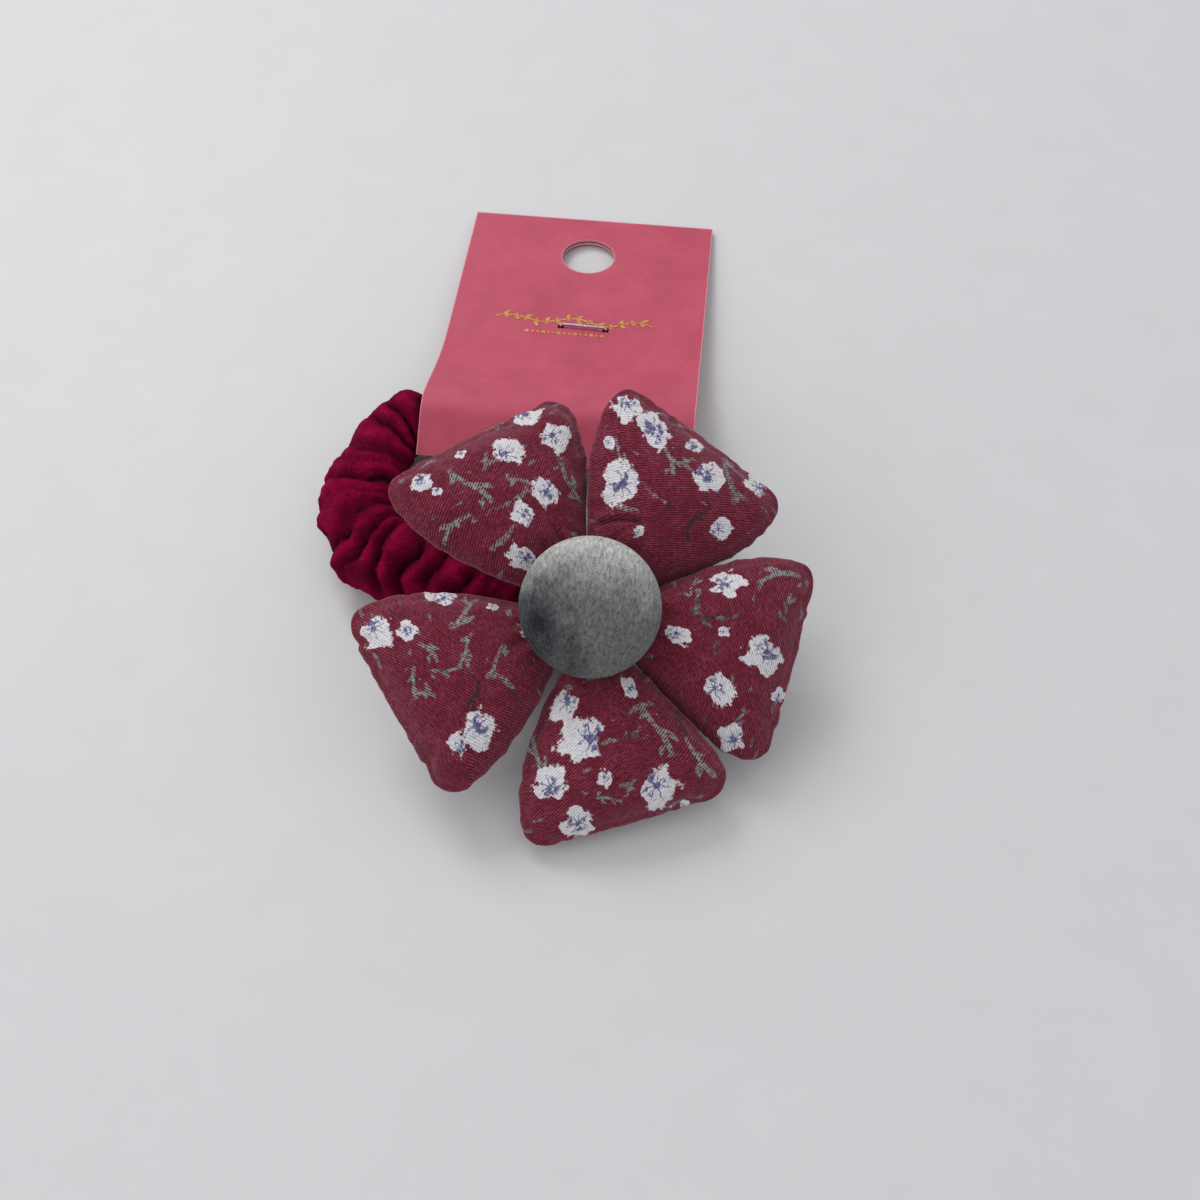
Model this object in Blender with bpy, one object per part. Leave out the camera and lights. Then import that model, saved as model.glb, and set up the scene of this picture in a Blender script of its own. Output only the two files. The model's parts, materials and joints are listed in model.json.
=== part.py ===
# A padded fabric flower with a covered button, sewn to a gathered velvet hair band that still hangs
# in its folded header card. Metres, +Z up, lying on the plane z = 0. The card's width runs along X,
# its top edge is at +Y, and the origin is the middle of the whole object's base.

from math import acos, asin, atan2, cos, hypot, pi, radians, sin, tan

import bmesh
import bpy
from mathutils import Matrix, Vector

mm = 0.001
gap = 0.3 * mm  # between any two touching pieces

# Place of the object's base centre in the layout below, whose zero is under the button.
base_middle = (-7.082 * mm, 20.763 * mm)

# Header card
card_width = 45.0 * mm
card_thickness = 0.4 * mm
card_x = -10.0 * mm
card_top_to_band = 56.2 * mm
card_clear = 2.5 * mm  # length past each edge of the card over which the band stays squeezed
leaf_gap = 0.3 * mm
band_play = 1.0 * mm  # between the squeezed band and the leaves round it
leaf_split = 34.0 * mm  # the leaves part here, below the staple
crease_angle = radians(38)  # slope of the leaves at the fold
hang_hole_diameter = 9.8 * mm
hang_hole_from_top = 10.9 * mm

# Staple
staple_from_top = 31.2 * mm
staple_crown = 8.5 * mm
staple_wire = 0.5 * mm
staple_shift = 1.3 * mm  # sideways from the card's middle
staple_turn = radians(-1.5)

# Velvet band, a gathered tube on an elastic core
band_height = 6.8 * mm  # of its middle line above the plane it lies on
velvet_thickness = 0.9 * mm
core_radius = 1.8 * mm
radius_in_card = 4.0 * mm
radius_far_corner = 5.2 * mm
radius_free = 6.5 * mm
radius_at_flower = 5.6 * mm
radius_right = 3.3 * mm
far_corner_bend = 8.0 * mm
side_clear = 0.8 * mm  # from the card's edges to the band beside them
free_bend = 11.0 * mm
near_bend = 12.5 * mm
right_bend = 5.2 * mm
lower_bend = 8.2 * mm
lower_bend_in = 2.0 * mm  # how far it draws in from the right bend
lower_bend_y = 10.0 * mm
radius_lower = 4.2 * mm
far_run_y = 29.5 * mm
free_bend_y = 10.5 * mm
free_bend_out = 1.4 * mm  # how far it stands out past the far corner
band_split_y = 18.0 * mm
route_step = 2.4 * mm  # between the rings that make the tube

# Flower
flower_yaw = radians(18.7)
flower_tilt = radians(25.5)
contact_x = -2.3 * mm
contact_y = -8.1 * mm
petal_angles = (112, 44, -25, -90, -165)  # as sewn, a little uneven
petal_base = 7.4 * mm  # distance of a petal's gathered end from the middle
petal_tip = 31.8 * mm
petal_base_half_width = 3.8 * mm
petal_flare = radians(23.76)  # from a petal's axis to its corner, less than half the angle between two
petal_base_half_height = 2.9 * mm
petal_half_height = 6.6 * mm
petal_seam_half_height = 1.0 * mm
petal_corner_start = 0.88  # share of the petal's length where its corners begin to round
petal_corner_draw = 0.13  # share of the half width that the rounding takes off
cloth_thickness = 0.6 * mm
felt_radius = 8.0 * mm
felt_thickness = 1.2 * mm
felt_below_middle = 4.4 * mm  # from the petals' middle plane down to the felt
thread_thickness = 0.5 * mm
stitch_spacing = 5.0 * mm

# Covered button
button_radius = 10.1 * mm
button_height = 7.2 * mm
button_rim = 2.6 * mm  # height of its widest line
button_seat = 4.8 * mm  # its underside over the petals' middle plane
button_velvet = 0.7 * mm
button_metal = 0.5 * mm
button_plate = 0.6 * mm
shank_wire = 1.0 * mm
shank_width = 4.2 * mm
shank_below_middle = 1.0 * mm
gather_radius = 6.2 * mm

petal_half_width = petal_tip * tan(petal_flare)
flower_rise = radius_at_flower + gap + felt_thickness + felt_below_middle
loop_radius = radius_in_card + band_play + card_thickness / 2

# The card leans back until its top edge rests on the plane.
card_back = card_thickness + leaf_gap / 2
card_tilt = asin(band_height / hypot(card_top_to_band, card_back)) - atan2(card_back, card_top_to_band)


def clear_scene():
    for item in list(bpy.data.objects):
        bpy.data.objects.remove(item, do_unlink=True)


def material(name, colour, roughness, metallic=0.0):
    mat = bpy.data.materials.new(name)
    mat.use_nodes = True
    shader = mat.node_tree.nodes["Principled BSDF"]
    shader.inputs["Base Color"].default_value = (*colour, 1)
    shader.inputs["Roughness"].default_value = roughness
    shader.inputs["Metallic"].default_value = metallic
    return mat


def empty(name, parent=None, place=(0, 0, 0), turn=(0, 0, 0)):
    item = bpy.data.objects.new(name, None)
    bpy.context.collection.objects.link(item)
    item.parent = parent
    item.location = place
    item.rotation_euler = turn
    return item


def add_object(name, bm, mat, parent, place=(0, 0, 0), turn=(0, 0, 0), smooth=True):
    bmesh.ops.recalc_face_normals(bm, faces=bm.faces)
    mesh = bpy.data.meshes.new(name)
    bm.to_mesh(mesh)
    bm.free()
    mesh.materials.append(mat)
    if smooth:
        mesh.shade_smooth()
        mesh.set_sharp_from_angle(angle=radians(40))
    item = bpy.data.objects.new(name, mesh)
    bpy.context.collection.objects.link(item)
    item.parent = parent
    item.location = place
    item.rotation_euler = turn
    return item


def skin(rings, cyclic=False):
    # Joins point rings of equal count into one closed body: round a loop, or capped at both ends.
    bm = bmesh.new()
    rows = [[bm.verts.new(point) for point in ring] for ring in rings]
    count = len(rows[0])
    for row, following in zip(rows, rows[1:] + rows[:1] if cyclic else rows[1:]):
        for i in range(count):
            j = (i + 1) % count
            bm.faces.new((row[i], row[j], following[j], following[i]))
    if not cyclic:
        bm.faces.new(rows[0])
        bm.faces.new(rows[-1])
    return bm


def turned(line, steps):
    # A line of (radius, height) points turned round Z. Both its ends lie on the axis.
    bm = bmesh.new()
    verts = [bm.verts.new((radius, 0, height)) for radius, height in line]
    edges = [bm.edges.new(pair) for pair in zip(verts, verts[1:])]
    bmesh.ops.spin(bm, geom=verts + edges, cent=(0, 0, 0), axis=(0, 0, 1), angle=2 * pi, steps=steps,
                   use_duplicate=False)
    bmesh.ops.remove_doubles(bm, verts=bm.verts, dist=0.01 * mm)
    return bm


def wire_object(name, path, radius, mat, parent, place=(0, 0, 0), turn=(0, 0, 0), cyclic=False):
    curve = bpy.data.curves.new(name, "CURVE")
    curve.dimensions = "3D"
    curve.bevel_depth = radius
    curve.bevel_resolution = 2
    curve.use_fill_caps = not cyclic
    spline = curve.splines.new("POLY")
    spline.points.add(len(path) - 1)
    for node, point in zip(spline.points, path):
        node.co = (*point, 1)
    spline.use_cyclic_u = cyclic
    curve.materials.append(mat)
    item = bpy.data.objects.new(name, curve)
    bpy.context.collection.objects.link(item)
    item.parent = parent
    item.location = place
    item.rotation_euler = turn
    return item


def cut(item, cutter):
    cutter.hide_render = True
    cutter.display_type = "WIRE"
    boolean = item.modifiers.new("cut", "BOOLEAN")
    boolean.operation = "DIFFERENCE"
    boolean.solver = "EXACT"
    boolean.object = cutter


# The band's middle line is a belt round five circles: arcs joined by straight stretches.

def belt_circles():
    left_run = card_x - card_width / 2 - side_clear - radius_far_corner
    right_run = card_x + card_width / 2 + side_clear + radius_right
    near_x = contact_x - near_bend * cos(flower_yaw - pi / 2)
    near_y = contact_y - near_bend * sin(flower_yaw - pi / 2)
    return [
        (left_run + far_corner_bend, far_run_y - far_corner_bend, far_corner_bend, radius_far_corner),
        (left_run - free_bend_out + free_bend, free_bend_y, free_bend, radius_free),
        (near_x, near_y, near_bend, radius_at_flower),
        (right_run - lower_bend_in - lower_bend, lower_bend_y, lower_bend, radius_lower),
        (right_run - right_bend, far_run_y - right_bend, right_bend, radius_right),
    ]


def belt():
    # Points (x, y, tube radius) anticlockwise from the far left corner.
    circles = belt_circles()
    leaving = []
    for (ax, ay, ar, _), (bx, by, br, _) in zip(circles, circles[1:] + circles[:1]):
        span = hypot(bx - ax, by - ay)
        leaving.append(atan2(by - ay, bx - ax) - pi / 2 + asin((ar - br) / span))
    points = []
    for k, (x, y, bend, radius) in enumerate(circles):
        start = leaving[k - 1]
        turn = (leaving[k] - start) % (2 * pi)
        count = max(2, round(turn * bend / route_step))
        for i in range(count + 1):
            angle = start + turn * i / count
            points.append((x + bend * cos(angle), y + bend * sin(angle), radius))
    return evenly(points)


def evenly(points):
    # Adds points along the straight stretches, with the tube radius eased from end to end.
    result = []
    for (ax, ay, ar), (bx, by, br) in zip(points, points[1:] + points[:1]):
        count = max(1, round(hypot(bx - ax, by - ay) / route_step))
        for i in range(count):
            t = i / count
            ease = t * t * (3 - 2 * t)
            result.append((ax + (bx - ax) * t, ay + (by - ay) * t, ar + (br - ar) * ease))
    return result


def squeezed(route):
    # The card holds the tube thin over its own width and a little past each edge.
    reach = card_width / 2 + card_clear
    result = []
    for x, y, radius in route:
        if y > far_run_y - radius_in_card and abs(x - card_x) < reach:
            radius = radius_in_card
        result.append((x, y, radius))
    return result


def halves(route):
    # The near and the far stretch of the closed route, each ending half a gap short of the split.
    count = len(route)
    ends = []
    for i in range(count):
        here = route[i]
        after = route[(i + 1) % count]
        if (here[1] - band_split_y) * (after[1] - band_split_y) < 0:
            span = hypot(after[0] - here[0], after[1] - here[1])
            middle = (band_split_y - here[1]) / (after[1] - here[1])
            pair = []
            for t in (middle - gap / 2 / span, middle + gap / 2 / span):
                pair.append(tuple(a + (b - a) * t for a, b in zip(here, after)))
            ends.append((i, pair))
    (first, left), (second, right) = ends
    near = between(left[1], route[first + 1:second + 1], right[0])
    far = between(right[1], route[second + 1:] + route[:first + 1], left[0])
    return near, far


def between(start, points, end):
    # Leaves out the points that an end ring would nearly touch.
    clear = [p for p in points if min(hypot(p[0] - e[0], p[1] - e[1]) for e in (start, end)) > route_step / 2]
    return [start] + clear + [end]


def tube_rings(route, sides, inset):
    rings = []
    for i, (x, y, radius) in enumerate(route):
        before = route[max(i - 1, 0)]
        after = route[min(i + 1, len(route) - 1)]
        along = Vector((after[0] - before[0], after[1] - before[1], 0)).normalized()
        across = Vector((along.y, -along.x, 0)) * (radius - inset)
        ring = []
        for k in range(sides):
            angle = 2 * pi * k / sides
            height = band_height + (radius - inset) * sin(angle)
            ring.append(Vector((x, y, height)) + across * cos(angle))
        rings.append(ring)
    return rings


def make_band(layout):
    velvet = material("crimson_velvet", (0.36, 0.004, 0.06), 0.85)
    rubber = material("elastic_core", (0.75, 0.72, 0.68), 0.7)
    route = squeezed(belt())
    for side, stretch in zip(("near", "far"), halves(route)):
        wall = tube_rings(stretch, 12, 0) + list(reversed(tube_rings(stretch, 12, velvet_thickness)))
        add_object(f"band_velvet_{side}", skin(wall, True), velvet, layout)
        core = [(x, y, core_radius) for x, y, _ in stretch]
        add_object(f"band_elastic_{side}", skin(tube_rings(core, 8, 0)), rubber, layout)


# Header card, drawn in its own frame: x across, y from the band up to the top edge, z its front.

def front_leaf():
    # From the top edge to the crease, as (distance from the top, height over the middle plane).
    flat = (leaf_gap + card_thickness) / 2
    reach = card_top_to_band - leaf_split
    slope = asin(loop_radius / reach)
    touch = Vector((card_top_to_band - loop_radius * sin(slope), loop_radius * cos(slope)))
    start = Vector((leaf_split, flat))
    first = start + Vector((reach * 0.4, 0))
    second = touch - Vector((cos(slope), sin(slope))) * reach * 0.3
    points = [Vector((0, flat))]
    steps = 8
    for i in range(steps + 1):
        t = i / steps
        u = 1 - t
        points.append(start * u ** 3 + first * 3 * u * u * t + second * 3 * u * t * t + touch * t ** 3)
    begin = pi / 2 + slope
    end = pi / 2 - crease_angle
    for i in range(1, steps + 1):
        angle = begin + (end - begin) * i / steps
        points.append(Vector((card_top_to_band + loop_radius * cos(angle), loop_radius * sin(angle))))
    points.append(Vector((card_top_to_band + loop_radius / sin(crease_angle), 0)))
    return points


def make_card(card_frame):
    paper = material("rose_card", (0.52, 0.13, 0.19), 0.6)
    steel = material("staple_wire", (0.8, 0.8, 0.82), 0.25, 1.0)
    front = front_leaf()
    profile = front + [Vector((point.x, -point.y)) for point in reversed(front[:-1])]
    bm = bmesh.new()
    rows = []
    for x in (-card_width / 2, card_width / 2):
        rows.append([bm.verts.new((x, card_top_to_band - p.x, p.y)) for p in profile])
    for i in range(len(profile) - 1):
        bm.faces.new((rows[0][i], rows[1][i], rows[1][i + 1], rows[0][i + 1]))
    card = add_object("header_card", bm, paper, card_frame, smooth=False)
    wall = card.modifiers.new("thickness", "SOLIDIFY")
    wall.thickness = card_thickness
    wall.offset = 0
    wall.use_even_offset = True

    depth = 4 * (leaf_gap + card_thickness)
    hole = bmesh.new()
    bmesh.ops.create_cone(hole, cap_ends=True, segments=40, radius1=hang_hole_diameter / 2,
                          radius2=hang_hole_diameter / 2, depth=depth)
    hole_y = card_top_to_band - hang_hole_from_top
    cut(card, add_object("hang_hole_cutter", hole, paper, card_frame, (0, hole_y, 0)))

    staple_place = (staple_shift, card_top_to_band - staple_from_top, 0)
    leg_x = (staple_crown - staple_wire) / 2
    legs = bmesh.new()
    for side in (-1, 1):
        made = bmesh.ops.create_cube(legs, size=1)
        size = Vector((staple_wire + 2 * gap, staple_wire + 2 * gap, depth))
        bmesh.ops.scale(legs, vec=size, verts=made["verts"])
        bmesh.ops.translate(legs, vec=(side * leg_x, 0, 0), verts=made["verts"])
    turn = (0, 0, staple_turn)
    cut(card, add_object("staple_hole_cutter", legs, paper, card_frame, staple_place, turn, False))

    level = leaf_gap / 2 + card_thickness + gap + staple_wire / 2
    clench = leg_x - 3.2 * mm
    path = [(-clench, 0, -level), (-leg_x + 0.4 * mm, 0, -level), (-leg_x, 0, -level + 0.4 * mm),
            (-leg_x, 0, level - 0.4 * mm), (-leg_x + 0.4 * mm, 0, level)]
    path += [(-x, y, z) for x, y, z in reversed(path)]
    wire_object("staple", path, staple_wire / 2, steel, card_frame, staple_place, turn)


# Petals, drawn from the hinge line outwards along x, y across, z up from the flower's middle plane.

def petal_rings(count, sides, inset, base_inset, tip_inset):
    length = petal_tip - petal_base
    rings = []
    for i in range(count):
        share = (1 - cos(pi * i / (count - 1))) / 2
        x = base_inset + (length - base_inset - tip_inset) * share
        t = x / length
        widening = sin(pi / 2 * min(1.0, t / petal_corner_start))
        half_width = petal_base_half_width + (petal_half_width - petal_base_half_width) * widening
        corner = max(0.0, t - petal_corner_start) / (1 - petal_corner_start)
        half_width *= 1 - petal_corner_draw * corner ** 2
        swell = sin(pi * min(1.0, t / 0.92) ** 1.1)
        half_height = petal_base_half_height * (1 - t) + petal_seam_half_height * t
        half_height += (petal_half_height - petal_base_half_height) * swell
        ring = []
        for k in range(sides):
            angle = 2 * pi * k / sides
            across = abs(cos(angle)) ** 0.8 * (half_width - inset)
            ring.append((x, across if cos(angle) > 0 else -across, (half_height - inset) * sin(angle)))
        rings.append(ring)
    return rings


def make_petals(flower):
    cloth = material("printed_cotton", (0.28, 0.02, 0.05), 0.9)
    wadding = material("wadding", (0.9, 0.9, 0.88), 0.95)
    for number, degrees in enumerate(petal_angles, 1):
        angle = radians(degrees)
        place = (petal_base * cos(angle), petal_base * sin(angle), flower_rise)
        hinge = empty(f"petal_{number}_hinge", flower, place, (0, 0, angle))
        wall = list(reversed(petal_rings(11, 16, 0, 0, 0)))
        wall += petal_rings(11, 16, cloth_thickness, 0, 2 * cloth_thickness)
        add_object(f"petal_{number}_cover", skin(wall), cloth, hinge)
        inset = cloth_thickness + gap
        filling = petal_rings(9, 12, inset, gap, 2 * inset + gap)
        add_object(f"petal_{number}_wadding", skin(filling), wadding, hinge)


# Covered button, turned round the flower's axis.

def dome(radius, rim, top, steps):
    # From the widest line up to the pole.
    points = [(radius * cos(pi / 2 * i / steps), rim + (top - rim) * sin(pi / 2 * i / steps))
              for i in range(steps)]
    return points + [(0.0, top)]


def make_button(flower):
    pile = material("grey_velvet", (0.25, 0.26, 0.25), 0.9)
    metal = material("button_aluminium", (0.8, 0.8, 0.8), 0.35, 1.0)
    place = (0, 0, flower_rise + button_seat)
    tuck = 0.55 * button_radius
    foot = 0.86 * button_radius
    inner = button_radius - button_velvet
    line = list(reversed(dome(button_radius, button_rim, button_height, 8)))
    line += [(foot, 0.0), (tuck, 0.0), (tuck, button_velvet), (foot - button_velvet, button_velvet)]
    line += dome(inner, button_rim, button_height - button_velvet, 8)
    add_object("button_velvet", turned(line, 32), pile, flower, place)

    shell = inner - gap
    top = button_height - button_velvet - gap
    line = list(reversed(dome(shell, button_rim, top, 6)))
    line += dome(shell - button_metal, button_rim, top - button_metal, 6)
    add_object("button_shell", turned(line, 28), metal, flower, place)

    low = button_velvet + gap
    edge = foot - button_velvet - gap
    plate = [(0.0, low), (edge, low), (edge, low + button_plate), (0.0, low + button_plate)]
    add_object("button_back_plate", turned(plate, 28), metal, flower, place)

    head = flower_rise + button_seat + low - gap
    foot_level = flower_rise - shank_below_middle
    bend = (shank_width - shank_wire) / 2
    path = [(-bend, 0, head)]
    for i in range(9):
        angle = pi + pi * i / 8
        path.append((bend * cos(angle), 0, foot_level + bend + bend * sin(angle)))
    path.append((bend, 0, head))
    wire_object("button_shank", path, shank_wire / 2, metal, flower)


def make_sewing(flower):
    thread = material("sewing_thread", (0.2, 0.015, 0.04), 0.8)
    felt = material("felt", (0.2, 0.01, 0.03), 0.95)
    felt_top = flower_rise - felt_below_middle
    low = felt_top - felt_thickness
    disc = [(0.0, low), (felt_radius, low), (felt_radius, felt_top), (0.0, felt_top)]
    add_object("felt_backing", turned(disc, 36), felt, flower)

    wire = thread_thickness / 2
    circle = [(gather_radius * cos(pi * i / 16), gather_radius * sin(pi * i / 16), flower_rise)
              for i in range(32)]
    wire_object("gathering_thread", circle, wire, thread, flower, cyclic=True)

    # The button's thread runs through the shank's eye and down to the felt.
    eye = flower_rise - shank_below_middle + shank_wire / 2 + gap + wire
    bottom = felt_top + gap + wire
    half = (eye - bottom) / 2
    side = shank_wire / 2 + gap + thread_thickness
    loop = [(0, side * cos(pi * i / 8), (eye + bottom) / 2 + half * sin(pi * i / 8)) for i in range(16)]
    wire_object("button_thread", loop, wire, thread, flower, cyclic=True)

    # Two stitches go round the band and stop under the felt.
    around = radius_at_flower + gap + wire
    opening = acos((radius_at_flower - wire) / around)
    frame = (Matrix.Translation((contact_x, contact_y, band_height))
             @ Matrix.Rotation(flower_yaw, 4, "Z") @ Matrix.Rotation(flower_tilt, 4, "X"))
    to_flower = frame.inverted()
    near_x, near_y, _, _ = belt_circles()[2]
    for number, side in enumerate((-1, 1), 1):
        heading = flower_yaw - pi / 2 + side * stitch_spacing / 2 / near_bend
        outward = Vector((cos(heading), sin(heading), 0))
        middle = Vector((near_x, near_y, band_height)) + outward * near_bend
        points = []
        for i in range(29):
            angle = pi / 2 - flower_tilt + opening + (2 * pi - 2 * opening) * i / 28
            spoke = outward * around * cos(angle) + Vector((0, 0, around * sin(angle)))
            points.append(to_flower @ (middle + spoke))
        wire_object(f"band_stitch_{number}", points, wire, thread, flower)


def main():
    clear_scene()
    layout = empty("layout", None, (-base_middle[0], -base_middle[1], 0))
    make_band(layout)
    card_frame = empty("card_hinge", layout, (card_x, far_run_y, band_height), (-card_tilt, 0, 0))
    make_card(card_frame)
    flower = empty("flower_hinge", layout, (contact_x, contact_y, band_height),
                   (flower_tilt, 0, flower_yaw))
    make_petals(flower)
    make_button(flower)
    make_sewing(flower)


main()
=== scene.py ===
# Looks of a velvet hair tie with a padded cotton flower, hanging in its folded header card
import json
import math

import bpy
import numpy as np
from mathutils import Matrix, Vector, noise

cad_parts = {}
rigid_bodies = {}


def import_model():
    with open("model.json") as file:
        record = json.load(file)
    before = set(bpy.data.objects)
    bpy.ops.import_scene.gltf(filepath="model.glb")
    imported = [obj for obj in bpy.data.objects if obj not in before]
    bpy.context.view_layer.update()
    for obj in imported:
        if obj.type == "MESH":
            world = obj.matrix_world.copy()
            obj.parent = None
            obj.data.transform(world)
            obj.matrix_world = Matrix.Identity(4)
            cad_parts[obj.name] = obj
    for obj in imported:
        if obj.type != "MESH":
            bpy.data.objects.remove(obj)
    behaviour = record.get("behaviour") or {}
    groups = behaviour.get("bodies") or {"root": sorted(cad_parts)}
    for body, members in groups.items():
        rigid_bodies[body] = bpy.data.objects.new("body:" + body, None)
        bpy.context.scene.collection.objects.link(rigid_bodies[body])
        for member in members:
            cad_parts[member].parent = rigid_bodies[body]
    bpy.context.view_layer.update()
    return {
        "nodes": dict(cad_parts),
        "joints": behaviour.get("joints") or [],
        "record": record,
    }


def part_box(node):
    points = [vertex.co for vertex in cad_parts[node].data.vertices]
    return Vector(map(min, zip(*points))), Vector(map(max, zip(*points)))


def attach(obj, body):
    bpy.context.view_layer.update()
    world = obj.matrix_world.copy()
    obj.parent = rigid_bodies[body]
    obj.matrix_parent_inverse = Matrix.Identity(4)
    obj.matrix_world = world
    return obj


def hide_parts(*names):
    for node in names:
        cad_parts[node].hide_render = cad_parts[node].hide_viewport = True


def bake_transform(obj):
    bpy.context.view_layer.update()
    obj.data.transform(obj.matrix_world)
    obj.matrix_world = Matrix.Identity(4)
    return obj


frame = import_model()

mm = 0.001
joints = {joint["name"]: joint for joint in frame["joints"]}
mounts = {mount["name"]: mount for mount in frame["record"]["mounts"]}


# Small helpers

def selectOnly(item):
    for other in bpy.context.view_layer.objects:
        other.select_set(False)
    item.select_set(True)
    bpy.context.view_layer.objects.active = item


def editMesh(item, *steps):
    # Each step is a mesh operator and its settings, run on the whole mesh
    selectOnly(item)
    bpy.ops.object.mode_set(mode="EDIT")
    for step, settings in steps:
        bpy.ops.mesh.select_all(action="SELECT")
        step(**settings)
    bpy.ops.object.mode_set(mode="OBJECT")


def lastAdded(name):
    item = bpy.context.object
    item.name = name
    item.data.name = name
    return item


def shadeSmooth(item):
    selectOnly(item)
    bpy.ops.object.shade_smooth()


def readPoints(item):
    points = np.zeros(len(item.data.vertices) * 3)
    item.data.vertices.foreach_get("co", points)
    return points.reshape(-1, 3)


def writePoints(item, points):
    item.data.vertices.foreach_set("co", np.asarray(points, dtype=np.float32).ravel())
    item.data.update()


def applyModifier(item, kind, **settings):
    selectOnly(item)
    modifier = item.modifiers.new(kind.lower(), kind)
    for name, value in settings.items():
        setattr(modifier, name, value)
    bpy.ops.object.modifier_apply(modifier=modifier.name)


def smoothStep(values, start, end):
    t = np.clip((values - start) / (end - start), 0, 1)
    return t * t * (3 - 2 * t)


def noiseAt(points, size, seed=0.0):
    # Smooth noise from -1 to 1, for points in metres and a feature size in metres
    shift = Vector((seed, seed * 0.7, seed * 1.3))
    return np.array([noise.noise(Vector(point) / size + shift) for point in points])


def colour(red, green, blue):
    # A colour as seen on a screen, 0 to 255, turned to the linear values that shaders use
    linear = []
    for value in (red, green, blue):
        share = value / 255
        linear.append(share / 12.92 if share < 0.04045 else ((share + 0.055) / 1.055) ** 2.4)
    return (*linear, 1)


# Shader maths: a wire is one socket, and sums or products of wires add Math nodes

class Wire:
    def __init__(self, tree, socket):
        self.tree = tree
        self.socket = socket

    def node(self, kind, settings=None, sockets=None, out=0):
        item = self.tree.nodes.new("ShaderNode" + kind)
        for name, value in (settings or {}).items():
            setattr(item, name, value)
        for name, value in (sockets or {}).items():
            if isinstance(value, Wire):
                self.tree.links.new(value.socket, item.inputs[name])
            else:
                item.inputs[name].default_value = value
        return Wire(self.tree, item.outputs[out])

    def maths(self, operation, *values):
        return self.node("Math", {"operation": operation}, dict(enumerate(values)))

    def __add__(self, other):
        return self.maths("ADD", self, other)

    __radd__ = __add__

    def __sub__(self, other):
        return self.maths("SUBTRACT", self, other)

    def __rsub__(self, other):
        return self.maths("SUBTRACT", other, self)

    def __mul__(self, other):
        return self.maths("MULTIPLY", self, other)

    __rmul__ = __mul__

    def __truediv__(self, other):
        return self.maths("DIVIDE", self, other)

    def power(self, exponent):
        return self.maths("POWER", self, exponent)

    def sine(self):
        return self.maths("SINE", self)

    def absolute(self):
        return self.maths("ABSOLUTE", self)

    def larger(self, other):
        return self.maths("MAXIMUM", self, other)

    def smaller(self, other):
        return self.maths("MINIMUM", self, other)

    def ease(self, start, end):
        # 0 before start and 1 after end, or the other way round where start is the larger
        settings = {"interpolation_type": "SMOOTHSTEP"}
        return self.node("MapRange", settings, {0: self, 1: start, 2: end})

    def parts(self):
        item = self.node("SeparateXYZ", None, {0: self})
        outputs = item.socket.node.outputs
        return [Wire(self.tree, outputs[i]) for i in range(3)]

    def stretched(self, scale=(1, 1, 1), place=(0, 0, 0), turn=(0, 0, 0)):
        sockets = {"Vector": self, "Location": place, "Rotation": turn, "Scale": scale}
        return self.node("Mapping", None, sockets)

    def grain(self, scale, detail=2.0, roughness=0.5, distortion=0.0):
        sockets = {"Vector": self, "Scale": scale, "Detail": detail, "Roughness": roughness,
                   "Distortion": distortion}
        return self.node("TexNoise", None, sockets)

    def between(self, first, second):
        # This wire is the factor that mixes two colours, each a wire or three screen values
        first, second = (tone if isinstance(tone, Wire) else colour(*tone) for tone in (first, second))
        return self.node("Mix", {"data_type": "RGBA"}, {0: self, 6: first, 7: second}, 2)

    def shaded(self, amount):
        # Darkens a colour by a factor wire
        settings = {"data_type": "RGBA", "blend_type": "MULTIPLY"}
        return self.node("Mix", settings, {0: 1.0, 6: self, 7: amount}, 2)


def startMaterial(name, roughness=0.8, **constants):
    mat = bpy.data.materials.new(name)
    mat.use_nodes = True
    shader = mat.node_tree.nodes["Principled BSDF"]
    shader.inputs["Roughness"].default_value = roughness
    for socket, value in constants.items():
        shader.inputs[socket.replace("_", " ")].default_value = value
    where = mat.node_tree.nodes.new("ShaderNodeTexCoord")
    return mat, Wire(mat.node_tree, where.outputs["Object"])


def finishMaterial(mat, tint, height=None, reach=0.0, roughness=None):
    tree = mat.node_tree
    shader = tree.nodes["Principled BSDF"]
    tree.links.new(tint.socket, shader.inputs["Base Color"])
    if roughness is not None:
        tree.links.new(roughness.socket, shader.inputs["Roughness"])
    if height is not None:
        bump = height.node("Bump", None, {"Height": height, "Distance": reach, "Strength": 1.0})
        tree.links.new(bump.socket, shader.inputs["Normal"])
    return mat


def dress(item, mat):
    item.data.materials.clear()
    item.data.materials.append(mat)


# Gathered velvet band

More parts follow.
